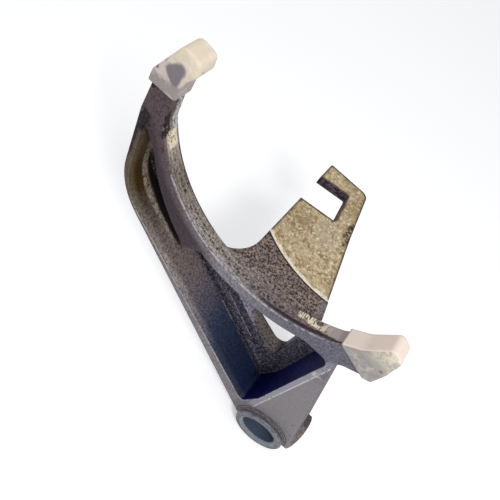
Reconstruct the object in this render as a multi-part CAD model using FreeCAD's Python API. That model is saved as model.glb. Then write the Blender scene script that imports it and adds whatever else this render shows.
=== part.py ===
import FreeCAD, Part
import math
import os

# Shift fork: one iron casting with two nylon pads on the tips of its arms
# Millimetres and degrees. X runs across the fork, Y along the rail, Z up towards the open side
# Places are from the centre of the hub's front face, and the kept pieces' origin is on the bore's axis
# where its front chamfer ends

# Hub and rail bore
bore_diameter = 15.0
bore_chamfer = 0.9
hub_diameter = 21.7
hub_length = 24.2
hub_edge_chamfer = 0.5
ring_foot_height = 0.8
body_diameter = 22.8

# Roll pin boss on the side of the hub
pin_boss_reach = 14.3
pin_boss_diameter = 16.6
pin_hole_diameter = 6.0
pin_hole_chamfer = 0.5

# Body behind the hub's front ring
face_setback = 2.7
rear_setback = 2.7
floor_depth = 14.5
cast_edge_round = 1.0

# C shaped fork
fork_radius = 46.1
fork_width = 5.5
band_thickness = 5.0
fork_centre_x = -41.7
fork_centre_z = 115.3
fork_edge_chamfer = 0.6

# Conical hollow behind the C's band
rear_opening_start = 3.4
rear_opening_growth = 1.165
sloping_floor_thickness = 2.8

# Flats on the inside of the two arm ends
left_flat_depth = 2.1
left_flat_angle = 180.0
right_flat_depth = 1.2
right_flat_angle = 322.0

# Left arm and the wall that runs down to the hub
left_arm_width = 6.0
left_shoulder_drop = 4.5
left_shoulder_taper = 1.2
left_taper_length = 11.0
left_corner_radius = 25.7
left_wall_angle = 40.7

# Rear face of the left arm, which thins towards the tip
rear_slope_start_z = 52.0
rear_slope_end_z = 100.0

# Right wall and right arm, with places given as reach outside the fork's radius and angle round it
right_wall_foot_x = 14.1
right_root_reach = 9.4
right_root_angle = 307.9
right_root_radius = 4.0
right_inner_reach = -1.2
right_inner_angle = 312.1
right_outer_reach = 11.3
right_outer_angle = 317.1
right_arm_rear_z = 73.0

# Pocket between the walls, with corners given as place across, height and radius
pocket_wall_angle = 37.6
pocket_foot = (-13.6, 5.2, 1.6)
pocket_outer_wall = 2.3
pocket_corner_radius = 22.0
groove_top_z = 96.5
groove_top_radius = 0.8
groove_head = (-86.4, 91.2, 1.0)
groove_bend = (-79.5, 75.5, 58.0)
pocket_shoulder = (-65.0, 62.6, 1.5)
pocket_step = (-58.0, 69.6, 0.0)
pocket_top_right = (-8.4, 69.6, 3.5)
pocket_right_wall = (-10.4, 17.2, 3.0)

# Bead on the pocket floor, beside the left wall
bead_offset = 4.3
bead_width = 3.6
bead_height = 1.5
bead_right_x = -16.8
bead_left_x = -58.0

# Window through the pocket floor
window_offset = 10.6
window_right_x = -16.8
window_left_x = -44.5
window_top_z = 57.0
window_ramp_rise = 7.0
window_corner_radius = 3.5

# Tab with the hook
tab_drop = 0.2
tab_mill_depth = 0.5
tab_thickness = 4.0
tab_left_x = -48.9
tab_root_x = -61.7
tab_root_radius = 12.0
tab_right_near = (-16.4, 8.0)
tab_right_middle = (-26.3, 48.3)
tab_right_far_x = -31.0
tab_end_y = 70.7
hook_corner_radius = 3.0
hook_tip_radius = 0.8
notch_corner = (-34.2, 49.3)
notch_width = 14.6
notch_angle = 8.6
notch_corner_radius = 0.6
mill_radius = 47.0
mill_start_y = 19.6
mill_centre_x = -25.0

# Nylon pads, with corners given as distance across the shoulder, distance beyond it and radius
pad_side = 0.8
pad_wall = 1.8
pad_clearance = 0.1
pad_edge_round = 0.8
tongue_side = 0.5
tongue_root = 1.0
left_pad_corners = [
    (-0.9, 0.0, 0.0),
    (7.8, 0.0, 0.0),
    (7.5, 3.2, 2.2),
    (1.5, 15.0, 2.0),
    (-4.0, 14.1, 1.6),
    (-4.2, 10.2, 2.5),
    (-1.4, 6.0, 2.0),
]
right_pad_corners = [
    (-0.3, 0.0, 0.0),
    (13.3, 0.0, 0.0),
    (14.7, 1.8, 1.4),
    (11.6, 8.7, 6.0),
    (7.1, 15.8, 2.2),
    (2.2, 16.2, 1.6),
    (1.9, 5.7, 8.0),
]

# Worked out from the sizes above
face_y = face_setback
body_rear_y = hub_length - rear_setback
floor_y = face_y + floor_depth
fork_rear_y = face_y + fork_width
body_radius = body_diameter / 2
band_outer_radius = fork_radius + band_thickness
hub_middle_y = (face_y + body_rear_y) / 2
fork_centre = (fork_centre_x, fork_centre_z)
right_root = (right_root_reach, right_root_angle)
right_shoulder_inner = (right_inner_reach, right_inner_angle)
right_shoulder_outer = (right_outer_reach, right_outer_angle)
left_flat_distance = fork_radius - left_flat_depth
right_flat_distance = fork_radius - right_flat_depth
left_edge_x = fork_centre_x - fork_radius - left_arm_width
left_shoulder_z = fork_centre_z - left_shoulder_drop
tab_cast_z = fork_centre_z - fork_radius - tab_drop
tab_top_z = tab_cast_z - tab_mill_depth
right_angle = 90.0

# Reach of blocks that cut everything on one side, and margin of cuts that end in the open
far = 200.0
margin = 1.0


def on_angle(angle, length):
    """Point at a length from the origin, on a line that makes the angle with the first axis."""
    turn = math.radians(angle)
    return (length * math.cos(turn), length * math.sin(turn))


def shifted(point, step):
    """Point moved by a step in the same plane."""
    return (point[0] + step[0], point[1] + step[1])


def round_fork(place):
    """Point given by its distance outside the fork's radius and its angle round the fork's centre."""
    outside, angle = place
    return shifted(fork_centre, on_angle(angle, fork_radius + outside))


def angle_between(start, end):
    """Angle of the line from one point to another."""
    return math.degrees(math.atan2(end[1] - start[1], end[0] - start[0]))


def crossing(point_a, angle_a, point_b, angle_b):
    """Crossing of two lines, each given by a point and an angle."""
    step_a = on_angle(angle_a, 1.0)
    step_b = on_angle(angle_b, 1.0)
    across = step_a[0] * step_b[1] - step_a[1] * step_b[0]
    gap = (point_b[0] - point_a[0], point_b[1] - point_a[1])
    length = (gap[0] * step_b[1] - gap[1] * step_b[0]) / across
    return shifted(point_a, (step_a[0] * length, step_a[1] * length))


def in_front_view(point, y):
    return FreeCAD.Vector(point[0], y, point[1])


def in_top_view(point, z):
    return FreeCAD.Vector(point[0], point[1], z)


def rounded_wire(corners, place, level):
    """Closed outline through corners (first, second, radius), with each corner rounded by its radius."""
    count = len(corners)
    starts = []
    middles = []
    ends = []
    for index in range(count):
        before = FreeCAD.Vector(*corners[index - 1][:2], 0)
        corner = FreeCAD.Vector(*corners[index][:2], 0)
        after = FreeCAD.Vector(*corners[(index + 1) % count][:2], 0)
        radius = corners[index][2]
        if radius == 0:
            starts.append(corner)
            middles.append(corner)
            ends.append(corner)
            continue
        back = (before - corner).normalize()
        ahead = (after - corner).normalize()
        half = back.getAngle(ahead) / 2
        cut = radius / math.tan(half)
        bisector = (back + ahead).normalize()
        reach = radius / math.sin(half) - radius
        starts.append(corner + back * cut)
        middles.append(corner + bisector * reach)
        ends.append(corner + ahead * cut)
    edges = []
    for index in range(count):
        start, middle, end = [
            place((point.x, point.y), level) for point in (starts[index], middles[index], ends[index])
        ]
        following = starts[(index + 1) % count]
        if corners[index][2] > 0:
            edges.append(Part.Arc(start, middle, end).toShape())
        edges.append(Part.makeLine(end, place((following.x, following.y), level)))
    return Part.Wire(edges)


def front_prism(corners, start_y, end_y):
    """Solid with an outline in the front view, between two places along the rail."""
    wire = rounded_wire(corners, in_front_view, start_y)
    return Part.Face(wire).extrude(FreeCAD.Vector(0, end_y - start_y, 0))


def top_prism(corners, start_z, end_z):
    """Solid with an outline in the top view, between two heights."""
    wire = rounded_wire(corners, in_top_view, start_z)
    return Part.Face(wire).extrude(FreeCAD.Vector(0, 0, end_z - start_z))


def rail_cylinder(radius, start_y, end_y, centre=(0.0, 0.0)):
    """Cylinder along the rail's direction."""
    return Part.makeCylinder(
        radius, end_y - start_y, in_front_view(centre, start_y), FreeCAD.Vector(0, 1, 0)
    )


def rail_cone(start_radius, end_radius, start_y, end_y, centre=(0.0, 0.0)):
    """Cone along the rail's direction, from one radius to another."""
    direction = FreeCAD.Vector(0, math.copysign(1, end_y - start_y), 0)
    length = abs(end_y - start_y)
    return Part.makeCone(start_radius, end_radius, length, in_front_view(centre, start_y), direction)


def half_space(angle, distance):
    """Block that starts at a distance from the fork's centre and fills everything beyond it."""
    block = Part.makeBox(far, 2 * far, 2 * far, FreeCAD.Vector(distance, -far, -far))
    block.rotate(FreeCAD.Vector(0, 0, 0), FreeCAD.Vector(0, -1, 0), angle)
    block.translate(in_front_view(fork_centre, 0))
    return block


def fork_opening():
    """Round inside of the C with a chamfered front edge, and the flats at the arm ends left standing."""
    opening = rail_cylinder(fork_radius, -far, far, fork_centre)
    edge_end_y = face_y + fork_edge_chamfer
    opening = opening.fuse(
        rail_cone(fork_radius + fork_edge_chamfer, fork_radius, face_y, edge_end_y, fork_centre)
    )
    left_flat = half_space(left_flat_angle, left_flat_distance)
    right_flat = half_space(right_flat_angle, right_flat_distance)
    opening = opening.cut([left_flat, right_flat])
    above = Part.makeBox(
        2 * far, 2 * far, far, FreeCAD.Vector(-far, -far, fork_centre_z + fork_radius / 2)
    )
    return opening.fuse(above)


def body_outline():
    """Front view of the whole casting, apart from the hub's own circle."""
    wall_side = -90 - left_wall_angle
    hub_touch = on_angle(wall_side, body_radius)
    left_corner = crossing(hub_touch, -left_wall_angle, (left_edge_x, 0), 90)
    root = round_fork(right_root)
    return [
        (left_edge_x + left_shoulder_taper, left_shoulder_z, 0),
        (left_edge_x, left_shoulder_z - left_taper_length, 0),
        (left_corner[0], left_corner[1], left_corner_radius),
        (hub_touch[0], hub_touch[1], 0),
        (0, 0, 0),
        (right_wall_foot_x, 0, 0),
        (root[0], root[1], right_root_radius),
        (*round_fork(right_shoulder_outer), 0),
        (*round_fork(right_shoulder_inner), 0),
        (fork_centre_x, fork_centre_z - fork_radius / 2, 0),
        (fork_centre_x, left_shoulder_z, 0),
    ]


def body_block():
    """Solid of the body's outline, with its outer front edges rounded as they come from the mould."""
    block = front_prism(body_outline(), face_y, body_rear_y)
    centre = in_front_view(fork_centre, face_y)
    outer = []
    for edge in block.Edges:
        middle = edge.valueAt((edge.FirstParameter + edge.LastParameter) / 2)
        on_front = edge.BoundBox.YMax < (face_y + body_rear_y) / 2
        outside_band = middle.distanceToPoint(centre) > band_outer_radius + cast_edge_round
        outside_hub = math.hypot(middle.x, middle.z) > body_radius
        if on_front and outside_band and outside_hub:
            outer.append(edge)
    return block.makeFillet(cast_edge_round, outer)


def rear_opening(forward):
    """Conical hollow behind the C's band, moved forward by a length."""
    start_y = fork_rear_y - forward
    end_y = body_rear_y + margin
    start_radius = fork_radius + rear_opening_start
    end_radius = start_radius + rear_opening_growth * (end_y - start_y)
    return rail_cone(start_radius, end_radius, start_y, end_y, fork_centre)


def left_arm_rear(forward):
    """Everything behind the sloping rear face of the left arm, moved forward by a length."""
    start = (body_rear_y - forward, rear_slope_start_z)
    end = (fork_rear_y - forward / 2, rear_slope_end_z)
    points = [start, end, (end[0], far), (far, far), (far, start[1])]
    vectors = [FreeCAD.Vector(-far, y, z) for y, z in points]
    face = Part.Face(Part.makePolygon(vectors + vectors[:1]))
    return face.extrude(FreeCAD.Vector(far + fork_centre_x, 0, 0))


def right_arm_rear():
    """Everything behind the right arm, which is only as wide as the fork."""
    corner = FreeCAD.Vector(tab_right_near[0], fork_rear_y, right_arm_rear_z)
    return Part.makeBox(far, far, far, corner)


def pocket_wall_point(offset, x):
    """Point at an offset from the pocket's long wall, at a given place across the fork."""
    away = on_angle(90 - pocket_wall_angle, offset)
    on_line = shifted(pocket_foot, away)
    return crossing(on_line, -pocket_wall_angle, (x, 0), 90)


def pocket():
    """Deep pocket between the walls, which runs up into a narrow groove in the left arm."""
    inner_x = left_edge_x + pocket_outer_wall
    left_corner = pocket_wall_point(0, inner_x)
    corners = [
        pocket_foot,
        (left_corner[0], left_corner[1], pocket_corner_radius),
        (inner_x, groove_top_z, groove_top_radius),
        groove_head,
        groove_bend,
        pocket_shoulder,
        pocket_step,
        pocket_top_right,
        pocket_right_wall,
    ]
    block = front_prism(corners, face_y - margin, floor_y)
    slope = math.hypot(1, rear_opening_growth) / rear_opening_growth
    floor_length = sloping_floor_thickness * slope
    band = rail_cylinder(band_outer_radius, -far, far, fork_centre)
    return block.cut([band, rear_opening(floor_length), left_arm_rear(floor_length)])


def window():
    """See-through window in the pocket floor, with a ramp up to its lower rear edge."""
    low = pocket_wall_point(window_offset, window_right_x)
    left = pocket_wall_point(window_offset, window_left_x)
    ramp = window_ramp_rise / (body_rear_y - floor_y)
    loops = []
    for level, rise in ((floor_y - margin, -ramp * margin), (body_rear_y + margin, window_ramp_rise)):
        corners = [
            (low[0], low[1] + rise, window_corner_radius),
            (left[0], left[1], window_corner_radius),
            (window_left_x, window_top_z, window_corner_radius),
            (window_right_x, window_top_z, window_corner_radius),
        ]
        loops.append(rounded_wire(corners, in_front_view, level))
    return Part.makeLoft(loops, True, True)


def floor_bead():
    """Bead with a round top that stands on the pocket floor beside the long wall."""
    radius = (bead_width ** 2 / 4 + bead_height ** 2) / (2 * bead_height)
    centre_y = floor_y - bead_height + radius
    start = in_front_view(pocket_wall_point(bead_offset, bead_right_x), centre_y)
    end = in_front_view(pocket_wall_point(bead_offset, bead_left_x), centre_y)
    line = end - start
    bead = Part.makeCylinder(radius, line.Length, start, line)
    below_floor = Part.makeBox(2 * far, far, 2 * far, FreeCAD.Vector(-far, body_rear_y, -far))
    return bead.cut(below_floor)


def notch():
    """Notch in the tab's left edge, which leaves the hook at its end."""
    along = on_angle(90 + notch_angle, notch_width)
    out = on_angle(180 + notch_angle, far)
    far_corner = shifted(notch_corner, along)
    corners = [
        (*notch_corner, notch_corner_radius),
        (*far_corner, notch_corner_radius),
        (*shifted(far_corner, out), 0),
        (*shifted(notch_corner, out), 0),
    ]
    return top_prism(corners, tab_top_z - tab_thickness - margin, fork_centre_z)


def tab():
    """Flat tab with a hook, which grows out of the bottom of the C along the rail's direction."""
    corners = [
        (tab_root_x, face_y + margin, 0),
        (tab_root_x, fork_rear_y, 0),
        (tab_left_x, fork_rear_y, tab_root_radius),
        (tab_left_x, tab_end_y, hook_tip_radius),
        (tab_right_far_x, tab_end_y, hook_corner_radius),
        (*tab_right_middle, 0),
        (*tab_right_near, 0),
        (tab_right_near[0] + margin, face_y + margin, 0),
    ]
    blank = top_prism(corners, tab_top_z - tab_thickness, tab_cast_z)
    mill_centre_y = mill_start_y + mill_radius
    milled = Part.makeCylinder(mill_radius, far, FreeCAD.Vector(mill_centre_x, mill_centre_y, tab_top_z))
    beyond = Part.makeBox(2 * far, far, far, FreeCAD.Vector(-far, mill_centre_y, tab_top_z))
    return blank.cut([milled, beyond, notch()])


def hub():
    """Hub round the rail, with its front and rear rings and the boss for the roll pin."""
    rings = rail_cylinder(hub_diameter / 2, 0, hub_length)
    rims = [edge for edge in rings.Edges if edge.isClosed()]
    rings = rings.makeChamfer(hub_edge_chamfer, rims)
    middle = rail_cylinder(body_radius, face_y, body_rear_y)
    foot = rail_cone(
        body_radius, body_radius - ring_foot_height, face_y, face_y - ring_foot_height
    )
    boss = Part.makeCylinder(
        pin_boss_diameter / 2, pin_boss_reach, FreeCAD.Vector(0, hub_middle_y, 0), FreeCAD.Vector(1, 0, 0)
    )
    return rings.fuse([middle, foot, boss])


def hub_holes():
    """Rail bore with chamfered mouths, and the roll pin's hole across it."""
    radius = bore_diameter / 2
    bore = rail_cylinder(radius, -margin, hub_length + margin)
    front = rail_cone(radius + bore_chamfer, radius, 0, bore_chamfer)
    rear = rail_cone(radius + bore_chamfer, radius, hub_length, hub_length - bore_chamfer)
    pin_radius = pin_hole_diameter / 2
    pin_hole = Part.makeCylinder(
        pin_radius, body_diameter + pin_boss_reach + margin,
        FreeCAD.Vector(-body_diameter, hub_middle_y, 0), FreeCAD.Vector(1, 0, 0)
    )
    pin_mouth = Part.makeCone(
        pin_radius + pin_hole_chamfer, pin_radius, pin_hole_chamfer,
        FreeCAD.Vector(pin_boss_reach, hub_middle_y, 0), FreeCAD.Vector(-1, 0, 0)
    )
    return bore.fuse([front, rear, pin_hole, pin_mouth])


def arm_ends():
    """Each arm's end: inner end of its shoulder, angle outwards, angle towards the tip, pad corners."""
    inner = round_fork(right_shoulder_inner)
    angle = angle_between(inner, round_fork(right_shoulder_outer))
    left_inner = (fork_centre_x - left_flat_distance, left_shoulder_z)
    left = (left_inner, left_flat_angle, left_flat_angle - right_angle, left_pad_corners)
    return left, (inner, angle, angle + right_angle, right_pad_corners)


def end_prism(arm_end, inset, root, start_y, end_y):
    """Pad's outline with its sides moved inwards and its shoulder side moved back, as a solid."""
    shoulder, outwards, towards_tip, corners = arm_end
    sides = []
    for index, corner in enumerate(corners):
        angle = angle_between(corner, corners[(index + 1) % len(corners)])
        moved = -root if index == 0 else inset
        sides.append((shifted(corner, on_angle(angle + 90, moved)), angle))
    outline = []
    for index, corner in enumerate(corners):
        across, beyond = crossing(*sides[index - 1], *sides[index])
        point = shifted(shoulder, on_angle(outwards, across))
        point = shifted(point, on_angle(towards_tip, beyond))
        outline.append((*point, max(corner[2] - inset, 0)))
    return front_prism(outline, start_y, end_y)


def tongue(arm_end, clearance):
    """End of an arm inside its pad, or the pad's cavity when there is a clearance."""
    start_y = face_y + tongue_side - clearance
    end_y = fork_rear_y - tongue_side + clearance
    return end_prism(arm_end, pad_wall - clearance, tongue_root, start_y, end_y)


def casting():
    """The whole iron casting, with the tongues that hold the pads."""
    body = body_block()
    body = body.cut([rear_opening(0), left_arm_rear(0), right_arm_rear()])
    body = body.fuse([hub(), tab()])
    body = body.cut([fork_opening(), pocket()])
    body = body.fuse(floor_bead())
    body = body.cut([window(), hub_holes()])
    body = body.fuse([tongue(arm_end, 0) for arm_end in arm_ends()])
    return body.removeSplitter()


def pad(arm_end):
    """Nylon pad that sits on an arm's shoulder and closes round its tongue, with rounded edges."""
    block = end_prism(arm_end, 0, 0, face_y - pad_side, fork_rear_y + pad_side)
    shoulder, _, towards_tip, _ = arm_end
    step = on_angle(towards_tip, 1.0)
    rounded = []
    for edge in block.Edges:
        middle = edge.CenterOfMass
        beyond = (middle.x - shoulder[0]) * step[0] + (middle.z - shoulder[1]) * step[1]
        on_side = edge.BoundBox.YLength < pad_side
        if on_side and beyond > pad_clearance:
            rounded.append(edge)
    return block.makeFillet(pad_edge_round, rounded).cut(tongue(arm_end, pad_clearance))


def save(name, shape):
    """Writes a piece, moved so that the end of the bore's front chamfer is at the origin."""
    solids = shape.Solids
    kept = solids[0] if len(solids) == 1 else Part.makeCompound(solids)
    kept.translate(FreeCAD.Vector(0, -bore_chamfer, 0))
    kept.exportStep("parts/" + name + ".step")
    print(name, "solids", len(solids), "valid", kept.isValid(), "volume", round(kept.Volume, 1))


os.makedirs("parts", exist_ok=True)
left_end, right_end = arm_ends()
save("fork_casting", casting())
save("left_pad", pad(left_end))
save("right_pad", pad(right_end))
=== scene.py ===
import math

import bpy
from mathutils import Matrix, Vector

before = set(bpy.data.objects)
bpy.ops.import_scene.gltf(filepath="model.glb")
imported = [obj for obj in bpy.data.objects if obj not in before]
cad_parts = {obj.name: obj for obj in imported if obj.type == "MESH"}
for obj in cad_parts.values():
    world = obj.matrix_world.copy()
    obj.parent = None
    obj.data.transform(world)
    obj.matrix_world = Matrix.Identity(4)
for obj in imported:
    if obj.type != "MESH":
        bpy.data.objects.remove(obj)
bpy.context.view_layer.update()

# Fork casting: one piece of cast iron with the C, the pocket, the hub and the tab.
# It comes sand-cast and rough, with painted blue-black shade low in its pocket and olive stains
# higher up.
# The hub's ring, the bore and the tab's top are machined, and the arms are rubbed bright.

MILLIMETRES = 1000.0
SCREEN_WHITE = 255
SCREEN_GAMMA = 2.2
NUMBER = "NodeSocketFloat"
VECTOR = "NodeSocketVector"


def srgb(red, green, blue):
    """Colour on the screen's scale of 255 as a linear colour: each part to the power 2.2."""
    return tuple((part / SCREEN_WHITE) ** SCREEN_GAMMA for part in (red, green, blue)) + (1.0,)


class Recipe:
    """A material or group under construction, with one short call for each node."""

    def __init__(self, tree):
        self.tree = tree

    def node(self, kind, inputs=(), **settings):
        """New node with its settings, and each input linked or set by its name or number."""
        made = self.tree.nodes.new(kind)
        for name, value in settings.items():
            setattr(made, name, value)
        for key, value in dict(inputs).items():
            if isinstance(value, bpy.types.NodeSocket):
                self.tree.links.new(value, made.inputs[key])
            else:
                made.inputs[key].default_value = value
        return made

    def group(self, node_tree, inputs):
        """Outputs of a node group placed with its own inputs."""
        return self.node("ShaderNodeGroup", inputs, node_tree=node_tree).outputs

    def math(self, operation, *values):
        return self.node("ShaderNodeMath", enumerate(values), operation=operation).outputs[0]

    def vector_math(self, operation, inputs, output=0):
        """Result of an operation on vectors: output 0 is a vector, and output 1 a number."""
        return self.node("ShaderNodeVectorMath", inputs, operation=operation).outputs[output]

    def fold(self, operation, values):
        """One value from several, with the operation done from the first to the last."""
        result = values[0]
        for value in values[1:]:
            result = self.math(operation, result, value)
        return result

    def product(self, *values):
        return self.fold("MULTIPLY", values)

    def sum(self, *values):
        return self.fold("ADD", values)

    def largest(self, *values):
        return self.fold("MAXIMUM", values)

    def minus(self, first, second):
        return self.math("SUBTRACT", first, second)

    def apart_from(self, value):
        """1 where the value is 0, and 0 where it is 1."""
        return self.minus(1.0, value)

    def rise(self, value, low, high):
        """0 below low, 1 above high, smooth between; with low above high it falls instead."""
        inputs = {0: value, 1: min(low, high), 2: max(low, high), 3: 0.0, 4: 1.0}
        if low > high:
            inputs[3], inputs[4] = 1.0, 0.0
        made = self.node("ShaderNodeMapRange", inputs, interpolation_type="SMOOTHSTEP")
        return made.outputs[0]

    def between(self, value, low, high, soft):
        """1 from low to high, and 0 further out than soft."""
        return self.product(
            self.rise(value, low - soft, low), self.rise(value, high + soft, high)
        )

    def mix(self, amount, first, second):
        """Colour that goes from the first to the second as amount goes from 0 to 1."""
        inputs = {0: amount, 6: first, 7: second}
        return self.node("ShaderNodeMix", inputs, data_type="RGBA").outputs[2]

    def scaled(self, colour, factor):
        """Colour or vector with each part times a factor."""
        return self.vector_math("SCALE", {0: colour, 3: factor})

    def finishes(self, value, places):
        """Colour of each finish at its place along a value, straight between two places."""
        low, high = places[0][0], places[-1][0]
        share = self.node("ShaderNodeMapRange", {0: value, 1: low, 2: high}).outputs[0]
        made = self.node("ShaderNodeValToRGB", {0: share})
        elements = made.color_ramp.elements
        elements[0].color = places[0][1]
        elements[1].color = places[-1][1]
        for place, colour in places[1:-1]:
            elements.new((place - low) / (high - low)).color = colour
        return made.outputs[0]

    def vector(self, x, y, z):
        return self.node("ShaderNodeCombineXYZ", {0: x, 1: y, 2: z}).outputs[0]

    def parts(self, vector):
        return self.node("ShaderNodeSeparateXYZ", {0: vector}).outputs

    def distance(self, vector, centre):
        return self.vector_math("DISTANCE", {0: vector, 1: centre}, output=1)

    def noise(self, vector, scale, detail=4.0, roughness=0.6, distortion=0.0):
        """Cloudy noise about 0.5, with about scale clouds to each unit of the vector."""
        inputs = {
            "Vector": vector,
            "Scale": scale,
            "Detail": detail,
            "Roughness": roughness,
            "Distortion": distortion,
        }
        return self.node("ShaderNodeTexNoise", inputs).outputs[0]

    def spread(self, noise, gain):
        """Noise less its middle, times a gain, and cut to run from -1 to 1."""
        centred = self.product(self.minus(noise, 0.5), gain)
        return self.math("MINIMUM", self.math("MAXIMUM", centred, -1.0), 1.0)

    def pits(self, vector, scale):
        """Distance to the nearest of scattered points, in cells."""
        inputs = {"Vector": vector, "Scale": scale}
        return self.node("ShaderNodeTexVoronoi", inputs).outputs["Distance"]

    def spot(self, vector, centre, radii, soft=0.5):
        """1 inside an ellipsoid given in millimetres, falling to 0 over a share of its size."""
        moved = self.vector_math("SUBTRACT", {0: vector, 1: centre})
        in_radii = self.vector_math("DIVIDE", {0: moved, 1: radii})
        length = self.vector_math("LENGTH", {0: in_radii}, output=1)
        return self.rise(length, 1.0 + soft, 1.0 - soft)

    def spots(self, vector, ellipsoids):
        """The largest of several spots."""
        return self.largest(*[self.spot(vector, *ellipsoid) for ellipsoid in ellipsoids])


def new_material(name):
    """Material with an empty node tree, and the recipe that fills it."""
    material = bpy.data.materials.new(name)
    material.use_nodes = True
    material.node_tree.nodes.clear()
    return material, Recipe(material.node_tree)


def new_group(name, inputs, outputs):
    """Node group with named sockets, the recipe that fills it, and what comes in."""
    group = bpy.data.node_groups.new(name, "ShaderNodeTree")
    for side, sockets in (("INPUT", inputs), ("OUTPUT", outputs)):
        for socket, kind in sockets.items():
            group.interface.new_socket(socket, in_out=side, socket_type=kind)
    recipe = Recipe(group)
    return group, recipe, recipe.node("NodeGroupInput").outputs


def place_in_millimetres(recipe):
    """Object coordinates times 1000, and their three parts."""
    coordinates = recipe.node("ShaderNodeTexCoord").outputs["Object"]
    vector = recipe.scaled(coordinates, MILLIMETRES)
    x, y, z = recipe.parts(vector)
    return vector, x, y, z


def sand_cast_group():
    """Sand-cast skin from the place in millimetres.

    Height is lumps, grains and fine noise, each with its share, less the pits. Grain is the
    grains and the fine noise spread about 0. Pits is 1 in each pit.
    """
    group, recipe, given = new_group(
        "sand_cast_skin", {"Place": VECTOR}, {"Height": NUMBER, "Grain": NUMBER, "Pits": NUMBER}
    )
    place = given["Place"]
    lumps = recipe.noise(place, scale=0.35, detail=2.0, roughness=0.5)
    grains = recipe.noise(place, scale=1.25, detail=2.0)
    fine = recipe.noise(place, scale=2.9, detail=2.0)
    pits = recipe.rise(recipe.pits(place, scale=0.75), 0.34, 0.14)
    bumps = recipe.sum(
        recipe.product(lumps, 0.5), recipe.product(grains, 0.4), recipe.product(fine, 0.18)
    )
    height = recipe.minus(bumps, recipe.product(pits, 0.3))
    grain = recipe.sum(
        recipe.product(recipe.spread(grains, gain=6.0), 0.6),
        recipe.product(recipe.spread(fine, gain=6.0), 0.5),
    )
    recipe.node("NodeGroupOutput", {"Height": height, "Grain": grain, "Pits": pits})
    return group


def edge_wear_group():
    """Edges found by rounding them with a radius in metres.

    Rounded is the normal averaged over that radius. Agreement is its dot product with the
    face's own normal: 1 on a flat face, and less the nearer an edge is.
    """
    group, recipe, given = new_group(
        "edge_wear", {"Radius": NUMBER}, {"Rounded": VECTOR, "Agreement": NUMBER}
    )
    rounded = recipe.node("ShaderNodeBevel", {"Radius": given["Radius"]}, samples=8).outputs[0]
    face = recipe.node("ShaderNodeNewGeometry").outputs["True Normal"]
    agreement = recipe.vector_math("DOT_PRODUCT", {0: rounded, 1: face}, output=1)
    recipe.node("NodeGroupOutput", {"Rounded": rounded, "Agreement": agreement})
    return group


def dress(node, material):
    """Gives a node of the frame one material in place of its own."""
    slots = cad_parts[node].data.materials
    slots.clear()
    slots.append(material)


sand_cast_skin = sand_cast_group()
edge_wear = edge_wear_group()

# The casting's own places in millimetres, as its part has them.

FORK_CENTRE = (-41.7, 0.0, 115.3)
FORK_RADIUS = 46.1
BAND_OUTSIDE = 51.1
FRONT_FACE = 1.8
BAND_REAR = 7.3
TAB_TOP = 68.5
MILL_CENTRE = (-25.0, 65.7, 0.0)
MILL_RADIUS = 47.0
FULL_TURN = 360.0

cast_iron, iron = new_material("cast_iron")
place, x, y, z = place_in_millimetres(iron)
facing = iron.node("ShaderNodeNewGeometry").outputs["Normal"]
facing_x, facing_y, facing_z = iron.parts(facing)
skin = iron.group(sand_cast_skin, {"Place": place})
height, grain, pits = skin["Height"], skin["Grain"], skin["Pits"]
frays = iron.noise(place, scale=0.75, roughness=0.7, distortion=0.4)
warmth = iron.noise(place, scale=0.35, detail=3.0)

# Distance from the C's axis, and the angle round it: 180 at the left arm, 270 at the bottom.
from_axis = iron.distance(iron.vector(x, 0.0, z), FORK_CENTRE)
across = iron.minus(x, FORK_CENTRE[0])
up = iron.minus(z, FORK_CENTRE[2])
turned = iron.product(iron.math("ARCTAN2", up, across), 180 / math.pi)
angle = iron.math("MODULO", iron.sum(turned, FULL_TURN), FULL_TURN)

# The C's inside, round from the left arm: grimy, then rubbed, as cast and lighter at its bottom,
# which is painted light, darker towards the right and rubbed again. It has streaks along it and
# a row of pits.

SKIN_COOL = srgb(112, 106, 112)
SKIN_WARM = srgb(118, 108, 102)
INSIDE_GRIMY = srgb(90, 75, 74)
INSIDE_RUBBED = srgb(148, 137, 126)
INSIDE_AS_CAST = srgb(116, 106, 98)
INSIDE_PAINTED_LIGHT = srgb(136, 127, 121)
INSIDE_DARKER = srgb(105, 93, 93)
INSIDE_FRONT_HIGHLIGHT = srgb(156, 152, 150)
INSIDE_DARK = srgb(66, 54, 62)
PIT_DARK = srgb(44, 35, 34)
TAB_CAST = srgb(106, 93, 87)

inside = iron.product(
    iron.between(from_axis, FORK_RADIUS - 3.5, FORK_RADIUS + 0.7, soft=0.2),
    iron.rise(facing_y, -0.9, -0.6),
)
# Painted light: this ramp is lighter at the C's bottom.
inside_colour = iron.finishes(
    angle,
    (
        (196, INSIDE_GRIMY),
        (203, INSIDE_RUBBED),
        (210, INSIDE_RUBBED),
        (219, INSIDE_AS_CAST),
        (247, INSIDE_PAINTED_LIGHT),
        (290, INSIDE_DARKER),
        (312, INSIDE_RUBBED),
    ),
)
frontmost = iron.rise(y, 4.6, 2.6)
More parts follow.
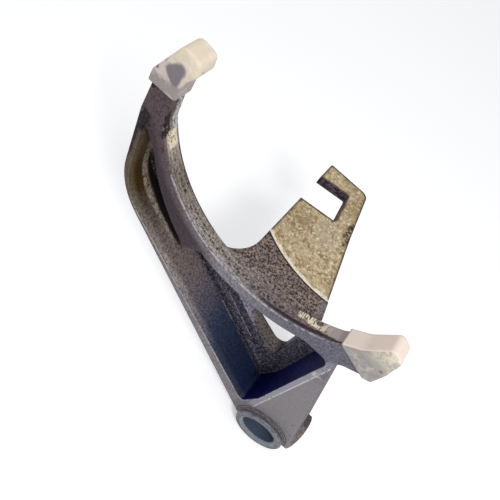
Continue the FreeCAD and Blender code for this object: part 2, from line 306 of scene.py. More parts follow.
# Painted highlight: the front of the C's bottom is lighter still.
front_painted_highlight = iron.product(frontmost, iron.between(angle, 240, 262, soft=12), 0.4)
inside_colour = iron.mix(front_painted_highlight, inside_colour, INSIDE_FRONT_HIGHLIGHT)
dark_front = iron.product(frontmost, iron.between(angle, 280, 302, soft=8), 0.8)
inside_colour = iron.mix(dark_front, inside_colour, INSIDE_DARK)
along_the_c = iron.vector(iron.product(angle, 0.10), iron.product(y, 1.5), 0.0)
streaks = iron.spread(iron.noise(along_the_c, scale=1.0, detail=3.0), gain=4.0)
pit_row = iron.product(
    iron.between(y, 3.9, 5.2, soft=0.5),
    iron.between(angle, 216, 284, soft=6),
    iron.rise(iron.pits(place, scale=0.8), 0.52, 0.28),
)
inside_colour = iron.mix(iron.product(pit_row, 0.85), inside_colour, PIT_DARK)
on_tab = iron.rise(y, BAND_REAR - 1.0, BAND_REAR + 4.0)
inside_colour = iron.mix(on_tab, inside_colour, TAB_CAST)
colour = iron.mix(iron.rise(warmth, 0.4, 0.6), SKIN_COOL, SKIN_WARM)
cast_top = iron.product(
    iron.rise(facing_z, 0.5, 0.8), iron.rise(from_axis, BAND_OUTSIDE, BAND_OUTSIDE - 1.0)
)
inside_or_top = iron.largest(inside, cast_top)
colour = iron.mix(inside_or_top, colour, inside_colour)

# The front face: purple-brown at the left arm, lightest at the C's bottom, and lilac-grey to the
# right. Oil darkens the C's outer edge low on the left arm.

FRONT_BROWN = srgb(88, 73, 77)
FRONT_AS_CAST = srgb(102, 92, 95)
FRONT_LIGHT = srgb(136, 132, 139)
FRONT_LILAC = srgb(108, 106, 119)
FRONT_OILY = srgb(54, 42, 50)
FRONT_SHADE = 0.82

front = iron.product(
    iron.rise(facing_y, -0.5, -0.8), iron.rise(y, FRONT_FACE + 1.2, FRONT_FACE + 0.4)
)
front_colour = iron.finishes(
    angle, ((208, FRONT_BROWN), (232, FRONT_AS_CAST), (261, FRONT_LIGHT), (289, FRONT_LILAC))
)
oily_edge = iron.product(
    iron.rise(from_axis, 47.4, 50.8), iron.between(angle, 208, 244, soft=16), 0.9
)
front_colour = iron.mix(oily_edge, front_colour, FRONT_OILY)
colour = iron.mix(front, colour, iron.scaled(front_colour, FRONT_SHADE))

# The rim of the left wall: grey below and brown above, and darkest by the arm.

RIM_GREY = srgb(120, 116, 121)
RIM_BROWN = srgb(88, 74, 62)
RIM_DARK = srgb(70, 55, 58)

left_rim = iron.product(
    iron.largest(front, iron.rise(facing_y, -0.2, -0.45)),
    iron.largest(iron.rise(from_axis, 58.5, 59.5), iron.rise(x, -90.6, -91.2)),
    iron.rise(angle, 295.0, 285.0),
    iron.rise(z, 97.0, 92.0),
    iron.rise(y, 5.0, 4.0),
    iron.rise(x, -13.0, -17.0),
)
rim_colour = iron.finishes(
    z, ((40, RIM_GREY), (67, RIM_BROWN), (82, RIM_BROWN), (96, RIM_DARK))
)
colour = iron.mix(left_rim, colour, rim_colour)

# The face beside the hub: smoother than the rest, with warm streaks.
# A greyer strip with a light line runs up the pocket's right edge: the painted light of a
# rounded edge, with a painted highlight along it.

FACE_GREY = srgb(120, 117, 123)
FACE_WARM = srgb(124, 115, 110)
# Painted light of the rounded edge beside the pocket.
ROUND_LIGHT_GREY = srgb(134, 135, 146)
# Painted highlights on edges, and the light of worn edges and the chip.
EDGE_HIGHLIGHT_AND_WEAR = srgb(190, 184, 184)
POCKET_EDGE_X = -10.4
POCKET_EDGE_FOOT = 17.2
POCKET_EDGE_SLOPE = 0.038

hub_face = iron.product(front, iron.rise(x, -15.0, -8.0), iron.rise(z, 66.0, 54.0))
warm_streaks = iron.product(iron.rise(warmth, 0.40, 0.62), 0.7)
colour = iron.mix(hub_face, colour, iron.mix(warm_streaks, FACE_GREY, FACE_WARM))
past_edge = iron.minus(
    iron.sum(x, -POCKET_EDGE_X),
    iron.product(iron.minus(z, POCKET_EDGE_FOOT), POCKET_EDGE_SLOPE),
)
beside_pocket = iron.product(front, iron.between(z, 12.0, 68.0, soft=6.0))
round_painted_light = iron.product(beside_pocket, iron.between(past_edge, -0.5, 1.7, soft=0.25))
colour = iron.mix(iron.product(round_painted_light, 0.8), colour, ROUND_LIGHT_GREY)
round_painted_highlight = iron.product(
    beside_pocket, iron.between(past_edge, 1.75, 2.1, soft=0.15), iron.rise(frays, 0.34, 0.5)
)
colour = iron.mix(iron.product(round_painted_highlight, 0.85), colour, EDGE_HIGHLIGHT_AND_WEAR)

# The long wall in the pocket: painted blue-black shade below, bare iron in the middle, olive
# stains above and umber by the arm. All but the umber are darker deep inside, which is painted
# shade.

# The wall's blue-black and its deep colours are painted shade.
WALL_SHADE_BLUE = srgb(58, 63, 79)
WALL_IRON = srgb(124, 115, 110)
WALL_OLIVE = srgb(93, 81, 56)
WALL_UMBER = srgb(86, 72, 62)
DEEP_SHADE_BLUE = srgb(28, 38, 66)
DEEP_SHADE_GREY = srgb(46, 52, 70)
DEEP_SHADED_IRON = srgb(98, 87, 83)
DEEP_SHADED_OLIVE = srgb(60, 43, 16)
# A painted highlight for the stripe in the pocket.
STRIPE_HIGHLIGHT_GREY = srgb(160, 149, 135)
# Black: oil on the arm and the tab, and painted shadow in the pocket's crease.
BLACK_OIL_AND_SHADOW = srgb(20, 12, 15)

flat_tab_top = iron.product(iron.rise(facing_z, 0.90, 0.96), iron.rise(z, 60.0, 63.0))
in_pocket = iron.product(
    iron.rise(y, FRONT_FACE + 0.15, FRONT_FACE + 0.6),
    iron.rise(y, 21.4, 20.9),
    iron.between(x, -91.75, -8.0, soft=0.3),
    iron.rise(from_axis, FORK_RADIUS + 1.5, FORK_RADIUS + 2.6),
    iron.between(z, 4.6, 97.5, soft=0.4),
    iron.apart_from(front),
    iron.rise(facing_y, 0.6, 0.3),
    iron.apart_from(flat_tab_top),
)
by_rim = iron.finishes(
    z,
    (
        (22, WALL_SHADE_BLUE),
        (46, WALL_IRON),
        (54, WALL_IRON),
        (68, WALL_OLIVE),
        (78, WALL_OLIVE),
        (94, WALL_UMBER),
    ),
)
deep_shade_colour = iron.finishes(
    z,
    (
        (8, DEEP_SHADE_BLUE),
        (27, DEEP_SHADE_GREY),
        (46, DEEP_SHADED_IRON),
        (54, DEEP_SHADED_IRON),
        (65, DEEP_SHADED_OLIVE),
        (72, DEEP_SHADED_OLIVE),
        (94, WALL_UMBER),
    ),
)
# Painted shade: the wall darkens from its rim to deep inside.
wall_colour = iron.mix(iron.rise(y, 3.2, 5.8), by_rim, deep_shade_colour)
# The pocket lies in shade, so its colours are lifted, most of all half-way up the wall.
lift = iron.sum(
    1.15,
    iron.product(iron.rise(z, 16.0, 34.0), 0.75),
    iron.product(iron.rise(z, 38.0, 46.0), -0.3),
    iron.product(iron.rise(z, 46.0, 56.0), -0.42),
)
wall_colour = iron.scaled(wall_colour, lift)
# A pale stripe of painted highlight runs beside a crease, which is painted black as its shadow.
stripe_highlight = iron.product(
    iron.between(y, 8.8, 10.2, soft=1.0), iron.rise(z, 47.0, 54.0), iron.rise(frays, 0.36, 0.54)
)
wall_colour = iron.mix(iron.product(stripe_highlight, 0.9), wall_colour, STRIPE_HIGHLIGHT_GREY)
crease_depth = iron.minus(y, iron.product(iron.rise(z, 56.0, 62.0), 1.2))
crease_shadow = iron.product(
    iron.rise(iron.sum(crease_depth, iron.product(frays, 0.8)), 10.1, 10.8),
    iron.rise(z, 45.0, 50.0),
)
wall_colour = iron.mix(iron.product(crease_shadow, 0.95), wall_colour, BLACK_OIL_AND_SHADOW)
colour = iron.mix(in_pocket, colour, wall_colour)

# The pocket's floor is speckled grey on painted black shade, and its right wall is painted the
# darkest blue shade.
# The window's side wall is lilac at its front, a painted highlight, and its slope is brown.

# The floor's black and the right wall's blues are painted shade.
FLOOR_SHADE_BLACK = srgb(14, 16, 42)
FLOOR_GREY = srgb(98, 92, 100)
RIGHT_WALL_SHADE_BLUE = srgb(0, 15, 90)
RIGHT_WALL_SHADE_BLACK = srgb(1, 12, 56)
# A painted highlight for the front of the window's side wall.
WINDOW_HIGHLIGHT_LILAC = srgb(142, 134, 152)
SLOPE_BROWN = srgb(92, 84, 80)

facing_front_deep = iron.product(iron.rise(facing_y, -0.35, -0.65), iron.rise(y, 11.0, 13.0))
on_floor = iron.product(
    in_pocket, iron.largest(facing_front_deep, iron.rise(y, 15.6, 16.1))
)
speckles = iron.noise(place, scale=1.5, detail=3.0, roughness=0.75)
floor_colour = iron.mix(iron.rise(speckles, 0.44, 0.60), FLOOR_SHADE_BLACK, FLOOR_GREY)
colour = iron.mix(on_floor, colour, floor_colour)
right_wall = iron.product(
    in_pocket, iron.rise(facing_x, -0.4, -0.8), iron.rise(x, -15.0, -13.5)
)
right_wall_shade = iron.mix(
    iron.rise(warmth, 0.40, 0.60), RIGHT_WALL_SHADE_BLUE, RIGHT_WALL_SHADE_BLACK
)
colour = iron.mix(right_wall, colour, right_wall_shade)
in_window = iron.product(
    iron.rise(y, 15.9, 16.3),
    iron.between(x, -45.5, -15.5, soft=0.5),
    iron.between(z, 24.0, 58.0, soft=0.5),
)
side_wall = iron.product(
    in_window, iron.rise(facing_x, 0.25, 0.45), iron.rise(facing_y, -0.6, -0.4)
)
side_wall_colour = iron.mix(iron.rise(y, 17.6, 19.8), WINDOW_HIGHLIGHT_LILAC, SLOPE_BROWN)
colour = iron.mix(iron.product(side_wall, 0.9), colour, side_wall_colour)
slope = iron.product(in_window, iron.rise(facing_y, -0.35, -0.5), iron.rise(y, 16.6, 16.9))
colour = iron.mix(iron.product(slope, 0.85), colour, SLOPE_BROWN)

# Sand-cast grain: dark and light grains, strongest on the tab and weakest on smooth faces, with
# lengthwise streaks on the C's inside and a darker bottom in each pit.

GRAIN_STRENGTH = 0.72
STREAK_STRENGTH = 0.6
PIT_SHADE = 0.34

rough = iron.apart_from(iron.product(hub_face, 0.75))
grain_strength = iron.sum(
    GRAIN_STRENGTH,
    iron.product(inside_or_top, iron.sum(0.08, iron.product(on_tab, 0.95))),
    iron.product(front, -0.26),
    iron.product(iron.rise(facing_x, 0.6, 0.9), -0.3),
    iron.product(on_floor, 0.3),
)
shading = iron.sum(
    1.0,
    iron.product(grain, rough, grain_strength),
    iron.product(streaks, inside, iron.rise(y, 9.0, 7.0), STREAK_STRENGTH),
)
shading = iron.product(shading, iron.apart_from(iron.product(pits, rough, PIT_SHADE)))
colour = iron.scaled(colour, shading)

# Lines on the C: a painted highlight along its front edge, a dark one behind that towards the
# right arm, and a dark one along the rear edge of the left arm.

LINE_DARK = srgb(50, 34, 44)
# Dark smudges, and painted shadow under the tab's cast lip.
SMUDGE_AND_SHADOW = srgb(44, 32, 36)

front_edge_highlight = iron.product(
    iron.between(from_axis, FORK_RADIUS + 0.25, FORK_RADIUS + 0.6, soft=0.1),
    iron.rise(y, FRONT_FACE + 0.75, FRONT_FACE + 0.55),
    iron.between(angle, 221, 300, soft=8),
    iron.rise(frays, 0.40, 0.54),
)
colour = iron.mix(iron.product(front_edge_highlight, 0.62), colour, EDGE_HIGHLIGHT_AND_WEAR)
behind_line = iron.product(
    inside,
    iron.between(y, 2.3, 3.3, soft=0.35),
    iron.rise(angle, 268.0, 288.0),
    iron.rise(frays, 0.26, 0.42),
)
colour = iron.mix(iron.product(behind_line, 0.85), colour, LINE_DARK)
rear_line = iron.product(
    iron.between(from_axis, FORK_RADIUS - 3.0, FORK_RADIUS + 0.5, soft=0.1),
    iron.between(y, BAND_REAR - 0.45, BAND_REAR + 0.2, soft=0.1),
    iron.between(angle, 200, 244, soft=3),
)
colour = iron.mix(iron.product(rear_line, 0.6), colour, SMUDGE_AND_SHADOW)

# Black oil on the left arm, below its pad and beside the rubbed flat, with torn outlines.
# Each smudge is an ellipsoid given by its centre and its radii in millimetres.

ARM_SMUDGES = (
    ((-91.4, FRONT_FACE, 96.6), (1.9, 3.0, 4.4)),
    ((-89.8, FRONT_FACE, 92.6), (1.0, 3.0, 3.4)),
    ((-93.4, FRONT_FACE, 88.0), (1.1, 3.0, 9.0)),
    ((-92.4, FRONT_FACE, 109.8), (2.0, 5.0, 1.4)),
    ((-85.2, FRONT_FACE + 0.8, 103.0), (0.9, 1.6, 4.2)),
    ((-84.8, FRONT_FACE + 0.9, 98.0), (0.8, 1.5, 2.8)),
    ((-83.2, FRONT_FACE + 2.6, 92.6), (1.2, 2.4, 0.8)),
)

torn = iron.product(iron.minus(frays, 0.5), 3.4)
arm_smudge = iron.rise(iron.sum(iron.spots(place, ARM_SMUDGES), torn), 0.50, 0.70)
colour = iron.mix(iron.product(arm_smudge, 0.92), colour, BLACK_OIL_AND_SHADOW)

# Places that the sleeve rubbed bright: a ragged tan patch on each arm, and the left arm's grey
# flat. The right arm's patch is nicked across, and pinker towards its pad.

RUBBED_TAN = srgb(236, 221, 192)
RUBBED_PINK = srgb(166, 152, 150)
RUBBED_GREY = srgb(188, 184, 182)
ARM_BLOB = ((-18.6, 6.2, 75.3), (1.2, 0.9, 1.4), 0.3)

ragged = iron.product(iron.minus(frays, 0.5), 5.0)
left_patch = iron.product(
    iron.between(z, 93.6, 97.6, soft=0.7),
    iron.rise(iron.sum(y, ragged), 2.4, 3.0),
    iron.rise(y, 7.2, 6.0),
)
left_flat = iron.product(
    iron.rise(iron.sum(y, ragged), 4.6, 5.2), iron.between(z, 98.0, 111.0, soft=0.8)
)
slant = iron.sum(y, iron.product(x, 0.18))
right_patch = iron.product(
    iron.rise(iron.sum(slant, iron.product(ragged, 0.3)), 0.5, 0.9),
    iron.between(iron.sum(x, ragged), -24.5, -5.0, soft=1.0),
    iron.rise(y, BAND_REAR + 1.2, BAND_REAR + 0.2),
    iron.rise(z, 71.0, 72.0),
)
arm_inside = iron.product(
    iron.between(from_axis, FORK_RADIUS - 4.0, FORK_RADIUS + 0.5, soft=0.1),
    iron.rise(facing_y, -0.7, -0.4),
)
nick_noise = iron.noise(place, scale=1.3, detail=3.0, roughness=0.7, distortion=0.5)
nicks = iron.rise(nick_noise, 0.38, 0.48)
across_arm = iron.vector(iron.product(angle, 1.3), iron.product(y, 0.3), 0.0)
cross_noise = iron.noise(across_arm, scale=1.0, detail=3.0, roughness=0.7, distortion=0.6)
cross_nicks = iron.largest(iron.rise(cross_noise, 0.43, 0.50), iron.rise(x, -17.0, -14.0))
rubbed = iron.product(
    arm_inside,
    iron.largest(iron.product(left_patch, nicks), iron.product(right_patch, cross_nicks)),
)
rubbed_flat = iron.product(arm_inside, left_flat, nicks)
colour = iron.mix(iron.product(rubbed_flat, 0.9), colour, RUBBED_GREY)
rubbed_colour = iron.mix(iron.rise(x, -19.0, -14.0), RUBBED_TAN, RUBBED_PINK)
colour = iron.mix(iron.product(rubbed, 0.92), colour, rubbed_colour)
blob = iron.product(arm_inside, iron.spot(place, *ARM_BLOB))
colour = iron.mix(iron.product(blob, 0.85), colour, SMUDGE_AND_SHADOW)

# The tab's top: milled back to the arc that the cutter left, and blotched by old oil.
# The arc is a painted highlight, the cast lip above it is painted shadow, and the hook's inner
# side is purple.

MACHINED_TAN = srgb(188, 168, 134)
MACHINED_BROWN = srgb(146, 122, 88)
MACHINED_LIGHT = srgb(214, 200, 170)
MACHINED_GREY = srgb(176, 163, 140)
# Painted highlight along the cutter's arc.
MACHINED_HIGHLIGHT = srgb(246, 238, 214)
HOOK_PURPLE = srgb(92, 74, 88)
BROWN_BLOTCHES = (
    ((-43.5, 37.0, TAB_TOP), (4.5, 6.0, 5.0)),
    ((-33.0, 60.0, TAB_TOP), (4.0, 8.0, 5.0)),
)
GREY_BLOTCH = ((-33.2, 40.5, TAB_TOP), (4.0, 5.5, 5.0))
TAB_SMUDGES = (
    ((-28.2, 49.5, TAB_TOP), (1.2, 5.0, 2.0)),
    ((-26.6, 45.0, TAB_TOP), (1.0, 4.0, 2.0)),
)

milled = iron.product(
    iron.rise(facing_z, 0.9, 0.97),
    iron.rise(iron.math("ABSOLUTE", iron.minus(z, TAB_TOP)), 0.25, 0.15),
    iron.rise(y, 12.0, 15.0),
)
stains = iron.noise(place, scale=0.42, detail=5.0, roughness=0.7, distortion=0.5)
tan = iron.mix(iron.rise(stains, 0.45, 0.60), MACHINED_TAN, MACHINED_BROWN)
browner = iron.product(
    iron.spots(place, BROWN_BLOTCHES), iron.rise(frays, 0.36, 0.56), 0.85
)
tan = iron.mix(browner, tan, MACHINED_BROWN)
tan = iron.mix(iron.product(iron.spot(place, *GREY_BLOTCH), 0.6), tan, MACHINED_GREY)
flecks = iron.noise(place, scale=0.62, detail=5.0, roughness=0.75, distortion=0.3)
tan = iron.mix(iron.rise(flecks, 0.50, 0.64), tan, MACHINED_LIGHT)
tan_shading = iron.sum(1.0, iron.product(grain, 0.38), iron.product(streaks, 0.04))
tan = iron.scaled(tan, tan_shading)
from_cutter = iron.distance(iron.vector(x, y, 0.0), MILL_CENTRE)
arc_highlight = iron.rise(
    iron.sum(from_cutter, iron.product(ragged, 0.9)), MILL_RADIUS - 1.9, MILL_RADIUS - 0.9
)
tan = iron.mix(iron.product(arc_highlight, 0.85), tan, MACHINED_HIGHLIGHT)
colour = iron.mix(milled, colour, tan)
# Painted shadow under the cast lip.
cast_lip_shadow = iron.product(
    iron.between(from_cutter, MILL_RADIUS, MILL_RADIUS + 0.5, soft=0.3),
    iron.rise(z, TAB_TOP - 1.0, TAB_TOP - 0.3),
    iron.rise(facing_y, -0.5, 0.0),
    iron.rise(y, 14.0, 16.0),
)
colour = iron.mix(iron.product(cast_lip_shadow, 0.8), colour, SMUDGE_AND_SHADOW)
hook_side = iron.product(
    iron.between(z, 64.2, TAB_TOP - 0.2, soft=0.2),
    iron.rise(y, 22.0, 28.0),
    iron.rise(facing_z, 0.5, 0.2),
)
hook_colour = iron.mix(iron.rise(frays, 0.44, 0.54), HOOK_PURPLE, BLACK_OIL_AND_SHADOW)
colour = iron.mix(iron.product(hook_side, 0.95), colour, hook_colour)
tab_smudge = iron.product(
    milled, iron.spots(place, TAB_SMUDGES), iron.rise(frays, 0.44, 0.56)
)
colour = iron.mix(iron.product(tab_smudge, 0.9), colour, BLACK_OIL_AND_SHADOW)

# The hub: its front ring, its chamfer and its bore are turned smooth. Painted shade lies at the
# ring's foot, and the roll pin boss beside it is painted darker as shade.

RAIL_AXIS = (0.0, 0.0, 0.0)
RING_GREY = srgb(84, 87, 94)
RING_LIGHT = srgb(104, 106, 114)
CHAMFER_LIGHT = srgb(140, 144, 152)
BORE_TEAL = srgb(80, 92, 110)
# Painted shade at the ring's foot.
RING_FOOT_SHADE = srgb(66, 60, 62)
BOSS_SHADE = 0.5

from_rail = iron.distance(iron.vector(x, 0.0, z), RAIL_AXIS)
hub_ring = iron.product(iron.rise(from_rail, 11.0, 10.85), iron.rise(y, 1.2, 0.6))
ring_colour = iron.mix(iron.rise(frays, 0.42, 0.62), RING_GREY, RING_LIGHT)
colour = iron.mix(hub_ring, colour, ring_colour)
chamfer = iron.product(hub_ring, iron.between(from_rail, 7.5, 8.3, soft=0.15))
colour = iron.mix(iron.product(chamfer, 0.6), colour, CHAMFER_LIGHT)
bore = iron.product(iron.rise(from_rail, 7.75, 7.6), iron.between(y, 0.0, 22.4, soft=0.1))
bore_colour = iron.scaled(BORE_TEAL[:3], iron.sum(1.0, iron.product(grain, 0.2)))
colour = iron.mix(bore, colour, bore_colour)
ring_foot_shade = iron.product(
    iron.between(from_rail, 10.6, 11.9, soft=0.5), iron.between(y, 0.9, 1.9, soft=0.5)
)
colour = iron.mix(iron.product(ring_foot_shade, 0.85), colour, RING_FOOT_SHADE)
# Painted shade on the roll pin boss.
boss = iron.product(
    iron.rise(x, 11.0, 12.0), iron.rise(z, 13.0, 10.0), iron.rise(facing_y, -0.2, 0.0)
)
colour = iron.mix(boss, colour, iron.scaled(colour, BOSS_SHADE))

# Edges: the milled top has a dark outline, and the walls' outside edges are lighter, partly
# rubbed and partly a painted highlight, with a chip above the pocket's right corner.

EDGE_RADIUS = 0.0008
OUTLINE_RADIUS = 0.002
TAB_EDGE = srgb(48, 36, 30)
CHIP = ((-7.4, FRONT_FACE, 59.2), (1.8, 1.2, 1.3))

narrow = iron.group(edge_wear, {"Radius": EDGE_RADIUS})
wide = iron.group(edge_wear, {"Radius": OUTLINE_RADIUS})
outline = iron.product(
    iron.rise(wide["Agreement"], 0.998, 0.95),
    milled,
    iron.rise(from_cutter, MILL_RADIUS - 0.6, MILL_RADIUS - 1.4),
)
colour = iron.mix(iron.product(outline, 0.85), colour, TAB_EDGE)
# Lighter outside edges: partly rubbed and partly a painted highlight.
edge_wear_and_highlight = iron.product(
    iron.rise(narrow["Agreement"], 0.99, 0.92),
    iron.rise(z, 66.0, 58.0),
    iron.rise(y, 6.0, 4.0),
    iron.apart_from(in_pocket),
    iron.rise(frays, 0.36, 0.54),
)
chip = iron.product(front, iron.spot(place, *CHIP), iron.rise(frays, 0.44, 0.52))
colour = iron.mix(iron.product(iron.largest(edge_wear_and_highlight, chip), 0.75), colour, EDGE_HIGHLIGHT_AND_WEAR)

# Finish: matt where it is cast, smoother and a little metallic where it is machined or rubbed,
# and glossier where oil lies low in the pocket. The skin's bumps fade on the smooth places.

CAST_ROUGHNESS = 0.74
CAST_METALLIC = 0.05
CAST_GLOSS = 0.25
SKIN_STRENGTH = 0.8
SKIN_DEPTH = 0.0006

smooth = iron.largest(
    milled, hub_ring, bore, iron.product(hub_face, 0.6), rubbed, rubbed_flat
)
low_oil = iron.product(in_pocket, iron.rise(z, 60.0, 36.0))
roughness = iron.minus(CAST_ROUGHNESS, iron.product(smooth, 0.3))
roughness = iron.minus(roughness, iron.product(low_oil, 0.2))
relief = iron.product(height, iron.apart_from(iron.product(smooth, 0.85)))
bump = iron.node(
    "ShaderNodeBump",
    {
        "Strength": SKIN_STRENGTH,
        "Distance": SKIN_DEPTH,
        "Height": relief,
        "Normal": narrow["Rounded"],
    },
)
shader = iron.node(
    "ShaderNodeBsdfPrincipled",
    {
        "Base Color": colour,
        "Roughness": roughness,
        "Metallic": iron.sum(CAST_METALLIC, iron.product(smooth, 0.2)),
        "Normal": bump.outputs[0],
        "Specular IOR Level": CAST_GLOSS,
    },
)
iron.node("ShaderNodeOutputMaterial", {0: shader.outputs[0]})
dress("fork_casting", cast_iron)

# Nylon pads: one on the tip of each arm, moulded in natural nylon and pressed on.
# They are cream where they are thick, and the iron tongue inside shows through their sides.

NYLON_CREAM = srgb(216, 203, 180)
NYLON_PINK = srgb(236, 218, 206)
NYLON_GREY = srgb(140, 132, 128)
NYLON_GREEN = srgb(148, 148, 142)
TONGUE_SHADE = srgb(98, 90, 102)
NYLON_SPECK = srgb(96, 88, 70)
NYLON_EDGE = srgb(150, 142, 134)
NYLON_ROUGHNESS = 0.42
NYLON_GLOSS = 0.4
NYLON_DEPTH = 0.0004
NYLON_CLEARNESS = 0.2
LIGHT_REACH = 0.0015
LIGHT_REACH_BY_COLOUR = (1.0, 0.8, 0.6)


def nylon_material(name, near, far, shades, specks, mottle, pink):
    """Nylon that goes from grey at the place near the arm to cream at the far one.

    The share of cream rises with the distance from near less the distance from far. The iron
    shows through in shades, and dirt in specks: each is an ellipsoid in millimetres. Mottle is
    the share of green blotches on the front, and pink the share of pink on the other sides.
    """
    material, nylon = new_material(name)
    place, x, y, z = place_in_millimetres(nylon)
    facing_y = nylon.parts(nylon.node("ShaderNodeNewGeometry").outputs["Normal"])[1]
    clouds = nylon.noise(place, scale=0.22, detail=3.0)
    smears = nylon.noise(place, scale=0.5, roughness=0.65, distortion=0.5)
    fine = nylon.noise(place, scale=1.5, roughness=0.7)
    wander = nylon.product(nylon.minus(smears, 0.5), 1.2)
    beyond = nylon.minus(nylon.distance(place, near), nylon.distance(place, far))
    reach = nylon.rise(nylon.sum(beyond, nylon.product(wander, 8.0)), -6.0, 8.0)
    colour = nylon.mix(reach, NYLON_GREY, NYLON_CREAM)
    pink_clouds = nylon.product(nylon.rise(clouds, 0.46, 0.62), 0.5)
    colour = nylon.mix(pink_clouds, colour, NYLON_PINK)
    on_front = nylon.rise(facing_y, -0.5, -0.8)
    colour = nylon.mix(nylon.product(nylon.apart_from(on_front), pink), colour, NYLON_PINK)
    blotches = nylon.product(on_front, nylon.rise(smears, 0.38, 0.60), mottle)
    colour = nylon.mix(blotches, colour, NYLON_GREEN)
    shade = nylon.sum(0.0, *[nylon.spot(place, *spot) for spot in shades])
    shade = nylon.rise(nylon.sum(shade, nylon.product(wander, 0.5)), 0.25, 1.05)
    colour = nylon.mix(nylon.product(shade, 0.88), colour, TONGUE_SHADE)
    colour = nylon.mix(nylon.product(nylon.spots(place, specks), 0.9), colour, NYLON_SPECK)
    shading = nylon.sum(1.0, nylon.product(nylon.spread(fine, gain=4.0), 0.07))
    colour = nylon.scaled(colour, shading)
    edge = nylon.group(edge_wear, {"Radius": EDGE_RADIUS})
    contour = nylon.product(
        nylon.rise(edge["Agreement"], 0.97, 0.86), nylon.rise(smears, 0.38, 0.56), 0.5
    )
    colour = nylon.mix(contour, colour, NYLON_EDGE)
    bump = nylon.node(
        "ShaderNodeBump",
        {
            "Strength": 0.3,
            "Distance": NYLON_DEPTH,
            "Height": nylon.sum(smears, nylon.product(fine, 0.3)),
            "Normal": edge["Rounded"],
        },
    )
    shader = nylon.node(
        "ShaderNodeBsdfPrincipled",
        {
            "Base Color": colour,
            "Roughness": nylon.sum(NYLON_ROUGHNESS, nylon.product(smears, 0.2)),
            "Normal": bump.outputs[0],
            "Subsurface Weight": NYLON_CLEARNESS,
            "Subsurface Radius": LIGHT_REACH_BY_COLOUR,
            "Subsurface Scale": LIGHT_REACH,
            "Specular IOR Level": NYLON_GLOSS,
        },
    )
    nylon.node("ShaderNodeOutputMaterial", {0: shader.outputs[0]})
    return material


LEFT_SHADES = (
    ((-87.6, 1.0, 117.9), (2.3, 1.6, 2.1), 0.5),
    ((-85.9, 1.0, 119.9), (1.8, 1.5, 2.0), 0.6),
    ((-86.4, 1.0, 116.2), (1.5, 1.4, 1.7), 0.6),
)
LEFT_SPECKS = (
    ((-82.0, 3.2, 121.8), (0.5, 0.6, 0.5), 0.4),
    ((-91.9, 1.6, 116.0), (0.6, 1.2, 0.5), 0.4),
)
RIGHT_SPECKS = (
    ((0.6, 1.0, 85.0), (0.5, 0.8, 0.5), 0.4),
    ((1.9, 1.0, 90.6), (0.4, 0.8, 0.4), 0.4),
)

nylon_left = nylon_material(
    "nylon_left",
    near=(-88.5, 1.0, 112.0),
    far=(-83.5, 3.5, 124.0),
    shades=LEFT_SHADES,
    specks=LEFT_SPECKS,
    mottle=0.15,
    pink=0.1,
)
dress("left_pad", nylon_left)
nylon_right = nylon_material(
    "nylon_right",
    near=(-4.0, 1.0, 80.0),
    far=(-3.0, 6.0, 92.0),
    shades=(),
    specks=RIGHT_SPECKS,
    mottle=0.85,
    pink=0.85,
)
dress("right_pad", nylon_right)

# Floor: a pale matt table under the hub, which runs out of sight.
# It shows white to the camera and still takes the fork's soft shadow.

FLOOR_LEVEL = -0.0116
FLOOR_REACH = 6.0
FLOOR_PALE = (0.93, 0.93, 0.94, 1.0)
FLOOR_GLOW = 0.25
WHITE = (1.0, 1.0, 1.0, 1.0)

corners = [(-1, -1), (1, -1), (1, 1), (-1, 1)]
floor_points = [(FLOOR_REACH * a, FLOOR_REACH * b, FLOOR_LEVEL) for a, b in corners]
floor_mesh = bpy.data.meshes.new("floor")
floor_mesh.from_pydata(floor_points, [], [(0, 1, 2, 3)])
floor = bpy.data.objects.new("floor", floor_mesh)
bpy.context.scene.collection.objects.link(floor)
pale_table, table = new_material("pale_table")
table_rays = table.node("ShaderNodeLightPath").outputs
matt = table.node("ShaderNodeBsdfDiffuse", {"Color": FLOOR_PALE}).outputs[0]
glow = table.node("ShaderNodeEmission", {"Color": WHITE, "Strength": FLOOR_GLOW}).outputs[0]
lifted = table.node("ShaderNodeAddShader", {0: matt, 1: glow}).outputs[0]
table_seen = table.largest(table_rays["Is Camera Ray"], table_rays["Is Glossy Ray"])
shown = table.node("ShaderNodeMixShader", {0: table_seen, 1: matt, 2: lifted}).outputs[0]
table.node("ShaderNodeOutputMaterial", {0: shown})
floor_mesh.materials.append(pale_table)

# Light: an even room, which shows white to the camera, and one soft square lamp.
# The lamp hangs high in front of the fork and to its right, and faces its middle.

ROOM_LIGHT = (0.97, 0.98, 1.0, 1.0)
ROOM_STRENGTH = 0.66
FORK_MIDDLE = (-0.04, 0.02, 0.06)
LAMP_PLACE = (0.075, -0.20, 0.38)
LAMP_SIZE = 0.08
LAMP_POWER = 0.85

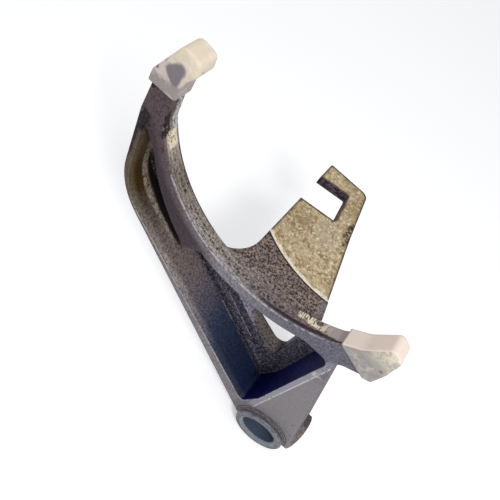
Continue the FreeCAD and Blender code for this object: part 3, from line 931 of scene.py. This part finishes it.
world = bpy.data.worlds.new("room")
world.use_nodes = True
world.node_tree.nodes.clear()
room = Recipe(world.node_tree)
room_rays = room.node("ShaderNodeLightPath").outputs
room_light = room.node("ShaderNodeBackground", {"Color": ROOM_LIGHT, "Strength": ROOM_STRENGTH})
room_white = room.node("ShaderNodeBackground", {"Color": WHITE, "Strength": 1.0})
room_seen = room.largest(room_rays["Is Camera Ray"], room_rays["Is Transmission Ray"])
room_shown = room.node(
    "ShaderNodeMixShader", {0: room_seen, 1: room_light.outputs[0], 2: room_white.outputs[0]}
)
room.node("ShaderNodeOutputWorld", {0: room_shown.outputs[0]})
bpy.context.scene.world = world

lamp_data = bpy.data.lights.new("table_lamp", "AREA")
lamp_data.size = LAMP_SIZE
lamp_data.energy = LAMP_POWER
lamp = bpy.data.objects.new("table_lamp", lamp_data)
lamp.location = LAMP_PLACE
lamp_aim = Vector(FORK_MIDDLE) - Vector(LAMP_PLACE)
lamp.rotation_euler = lamp_aim.to_track_quat("-Z", "Y").to_euler()
bpy.context.scene.collection.objects.link(lamp)

# Camera: where the photograph was taken from, worked out from the fork's own straight and round
# edges. Its focal length is in pixels, of which the sensor's width holds 500.

CAMERA_PLACE = (-0.042505, -0.082854, 0.201854)
CAMERA_RIGHT = (0.74303, 0.55823, 0.36918)
CAMERA_DOWN = (0.66806, -0.58559, -0.45911)
CAMERA_AHEAD = (-0.0401, 0.58776, -0.80804)
FOCAL_PIXELS = 520.0
IMAGE_PIXELS = 500.0
SENSOR_WIDTH = 36.0
NEAREST_SEEN = 0.01

camera_data = bpy.data.cameras.new("camera")
camera_data.sensor_width = SENSOR_WIDTH
camera_data.lens = SENSOR_WIDTH * FOCAL_PIXELS / IMAGE_PIXELS
camera_data.clip_start = NEAREST_SEEN
camera = bpy.data.objects.new("camera", camera_data)
camera_up = [-part for part in CAMERA_DOWN]
camera_back = [-part for part in CAMERA_AHEAD]
turn = Matrix((CAMERA_RIGHT, camera_up, camera_back)).transposed()
camera.matrix_world = Matrix.Translation(CAMERA_PLACE) @ turn.to_4x4()
bpy.context.scene.collection.objects.link(camera)
bpy.context.scene.camera = camera
bpy.context.scene.view_settings.view_transform = "Standard"
